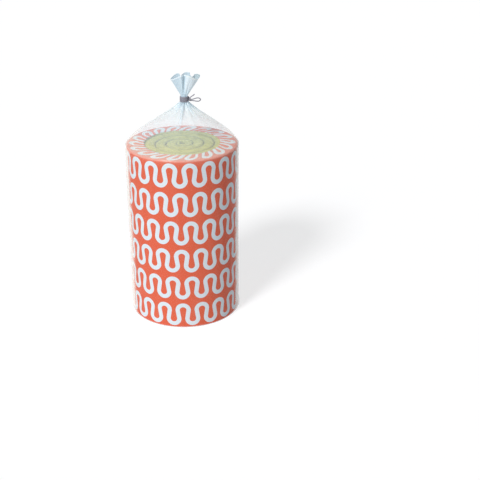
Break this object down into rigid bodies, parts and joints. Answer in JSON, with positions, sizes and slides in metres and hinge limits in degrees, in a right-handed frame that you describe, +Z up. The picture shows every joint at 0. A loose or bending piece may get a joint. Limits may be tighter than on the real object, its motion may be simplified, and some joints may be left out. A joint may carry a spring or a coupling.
{
  "type": "insulation roll",
  "caption": "Rolled mineral wool mat standing on its end, in a printed film wrapper folded over both ends and a clear bag gathered and tied with string at the top.",
  "frame": {"origin": "middle of the bag's flat base, on the floor", "axes": "+Z up along the roll's axis, +X the side on which the tie's loop stands out, -Y the front"},
  "size_m": [0.6374, 0.6374, 1.3939],
  "materials": {
    "wool": "fibrous, matt, yellow green",
    "printed_film": "orange red film with white print",
    "clear_film": "clear, slightly milky where it is gathered",
    "string": "dark grey twisted string"
  },
  "bodies": {
    "root": {"wool_roll": "wool", "printed_wrapper": "printed_film", "clear_bag": "clear_film", "tie_turns": "string", "tie_loop": "string", "tie_end": "string"}
  },
  "joints": []
}
